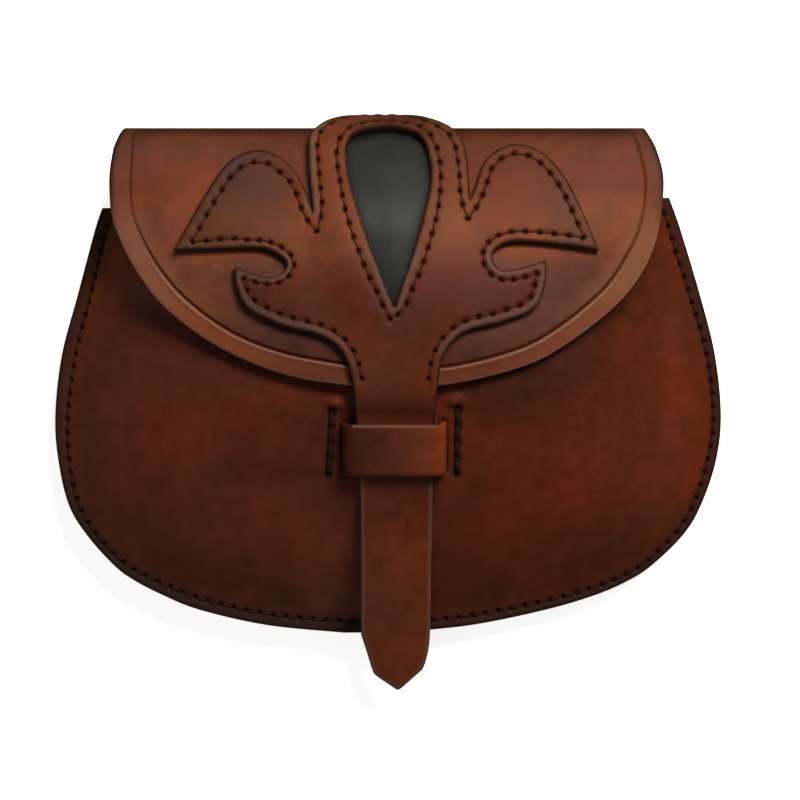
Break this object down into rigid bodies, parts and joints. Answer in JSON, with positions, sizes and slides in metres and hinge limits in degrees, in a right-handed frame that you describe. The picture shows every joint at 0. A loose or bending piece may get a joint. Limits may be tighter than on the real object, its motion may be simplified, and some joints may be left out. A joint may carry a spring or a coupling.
{
  "type": "belt pouch",
  "caption": "Bellied leather belt pouch with a rolled D-shaped flap, a stitched leaf overlay around a drop window, a strap tucked under a keeper, and loops for a belt on its back.",
  "frame": {"origin": "centre of the footprint on the surface that the pouch lies on, under the middle of its bounding box", "axes": "+X to the right as seen from the front, +Y to the pouch's top, +Z out of its front; it lies on its back"},
  "size_m": [0.2106, 0.1807, 0.0525],
  "materials": {
    "body_leather": "red-brown, polished",
    "flap_leather": "tan-brown, polished",
    "strap_leather": "red-brown, polished",
    "inlay_leather": "dark grey-green, smooth"
  },
  "bodies": {
    "root": {"front_panel": "body_leather", "back_flap": "flap_leather", "flap_overlay": "strap_leather", "window_inlay": "inlay_leather", "keeper_loop": "strap_leather", "belt_loop_left": "body_leather", "belt_loop_right": "body_leather"}
  },
  "joints": []
}
